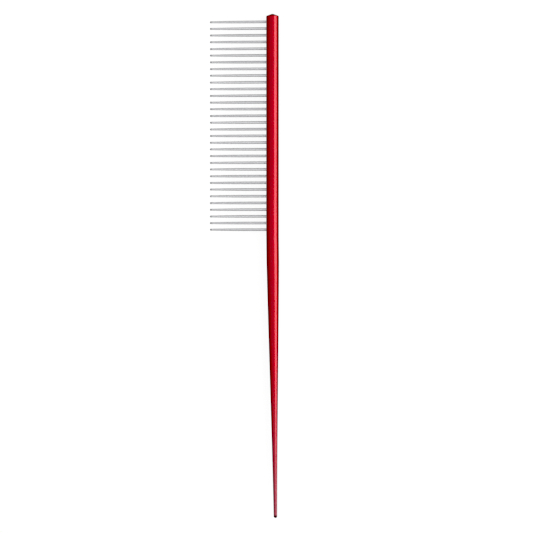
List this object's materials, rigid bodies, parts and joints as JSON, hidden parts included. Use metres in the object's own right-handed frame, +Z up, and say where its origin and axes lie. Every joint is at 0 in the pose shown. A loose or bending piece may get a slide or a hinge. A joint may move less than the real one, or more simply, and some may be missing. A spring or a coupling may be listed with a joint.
{
  "type": "pin tail comb",
  "caption": "Slim metal comb: a straight round bar with one row of long tapered steel pins, a plain grip and a long tapering tail with a rounded tip.",
  "frame": {"origin": "on the table, under the middle of the comb's box as it lies", "axes": "+Y along the bar from the tail towards the head cone, -X the way the pins point, +Z up from the table; the comb rests on the bar's underside and the pin tips, so the pins dip 4.88 degrees to the table"},
  "size_m": [0.0333, 0.2434, 0.006],
  "materials": {
    "red_anodised": "bright red anodised, glossy, slightly darker where the light grazes it",
    "pin_steel": "polished stainless steel, tumbled smooth at the tips"
  },
  "bodies": {
    "root": {"comb_bar": "red_anodised", "pin_01": "pin_steel", "pin_02": "pin_steel", "pin_03": "pin_steel", "pin_04": "pin_steel", "pin_05": "pin_steel", "pin_06": "pin_steel", "pin_07": "pin_steel", "pin_08": "pin_steel", "pin_09": "pin_steel", "pin_10": "pin_steel", "pin_11": "pin_steel", "pin_12": "pin_steel", "pin_13": "pin_steel", "pin_14": "pin_steel", "pin_15": "pin_steel", "pin_16": "pin_steel", "pin_17": "pin_steel", "pin_18": "pin_steel", "pin_19": "pin_steel", "pin_20": "pin_steel", "pin_21": "pin_steel", "pin_22": "pin_steel", "pin_23": "pin_steel", "pin_24": "pin_steel", "pin_25": "pin_steel", "pin_26": "pin_steel", "pin_27": "pin_steel", "pin_28": "pin_steel", "pin_29": "pin_steel", "pin_30": "pin_steel", "pin_31": "pin_steel", "pin_32": "pin_steel"}
  },
  "joints": []
}
